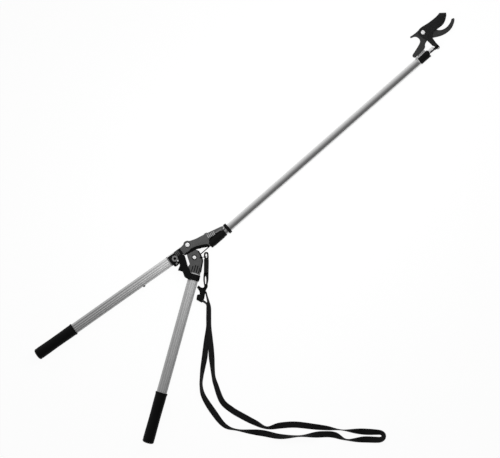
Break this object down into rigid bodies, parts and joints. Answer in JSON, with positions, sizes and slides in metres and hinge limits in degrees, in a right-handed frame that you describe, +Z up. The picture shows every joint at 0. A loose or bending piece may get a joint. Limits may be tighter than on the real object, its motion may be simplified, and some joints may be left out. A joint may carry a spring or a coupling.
{
  "type": "two-handed pole pruner",
  "caption": "Long-reach bypass pruner: a cable pole joins a cutting head to a fixed handle and a lever with grips, and a shoulder strap hangs from the lever.",
  "frame": {"origin": "on the lever's pivot axis, at the floor that the tool lies on, under the pivot's cap nut", "axes": "+X along the pole to the cutting head, +Y across it to the side away from the lever, +Z up from the floor"},
  "size_m": [1.7699, 0.9881, 0.0374],
  "materials": {
    "aluminium": "clear anodised, drawn",
    "cast_grey": "satin grey coat on a casting",
    "black_plastic": "fine moulded grain",
    "black_rubber": "matt",
    "bright_steel": "bright zinc plate",
    "hook_steel": "dark grey coat on steel",
    "blade_steel": "black non-stick coat on steel",
    "bronze": "sintered",
    "cable_steel": "plain wire rope and bolt",
    "webbing": "woven polyester webbing"
  },
  "bodies": {
    "frame": {"pole_tube": "aluminium", "bumper_ring": "black_rubber", "pole_body": "cast_grey", "pole_screw": "bright_steel", "clamp_screw": "bright_steel", "cable_guide": "bronze", "rear_socket": "black_plastic", "socket_bolt": "cable_steel", "socket_rivet_upper": "cast_grey", "socket_rivet_lower": "cast_grey", "upper_handle_tube": "aluminium", "upper_handle_rivet": "aluminium", "upper_grip": "black_rubber", "handle_bumper": "black_rubber", "main_pivot_bolt": "bright_steel", "main_pivot_washer": "black_plastic", "main_pivot_nut": "bright_steel", "head_bracket": "aluminium", "head_cover": "black_plastic", "head_rivet_lower": "hook_steel", "head_rivet_upper": "hook_steel", "hook_plate": "hook_steel", "blade_pivot_bolt": "bright_steel", "blade_pivot_nut": "bright_steel", "spring_seat": "bronze", "return_spring": "bright_steel"},
    "lever": {"lever_socket": "black_plastic", "lever_front_plate": "cast_grey", "lever_rear_plate": "cast_grey", "lever_bush": "bronze", "lever_spacer": "aluminium", "cable_cam": "aluminium", "anchor_bolt": "bright_steel", "anchor_washer": "black_plastic", "anchor_nut": "bright_steel", "lever_rivet_left": "cast_grey", "lever_rivet_right": "cast_grey", "lower_handle_tube": "aluminium", "lower_handle_rivet": "aluminium", "lower_grip": "black_rubber", "cable_tail": "cable_steel", "strap_ring": "blade_steel", "strap_tab": "webbing", "strap_hook": "black_plastic", "strap_slider": "black_plastic", "strap_webbing": "webbing"},
    "cable": {"pull_cable": "cable_steel", "cable_stop": "bright_steel", "cable_fork": "bright_steel", "fork_pin": "bright_steel"},
    "blade": {"cutting_blade": "blade_steel", "blade_bush": "bronze"}
  },
  "joints": [
    {"name": "lever_hinge", "type": "hinge", "parent": "frame", "child": "lever", "pos_m": [0, 0, 0.0185], "axis": [0, 0, -1], "range_deg": [0, 28], "stiffness_Nm_per_rad": 1, "springref_deg": -8.59},
    {"name": "cable_slide", "type": "slide", "parent": "frame", "child": "cable", "axis": [-1, 0, 0], "range_m": [0, 0.0252], "deforming": ["return_spring"]},
    {"name": "blade_hinge", "type": "hinge", "parent": "frame", "child": "blade", "pos_m": [1.0465, 0.015, 0.0208], "axis": [0, 0, -1], "range_deg": [0, 21.7]}
  ],
  "couplings": [
    {"joint": "cable_slide", "follows": "lever_hinge", "m_per_rad": 0.0515},
    {"joint": "blade_hinge", "follows": "lever_hinge", "ratio": 0.77444}
  ]
}
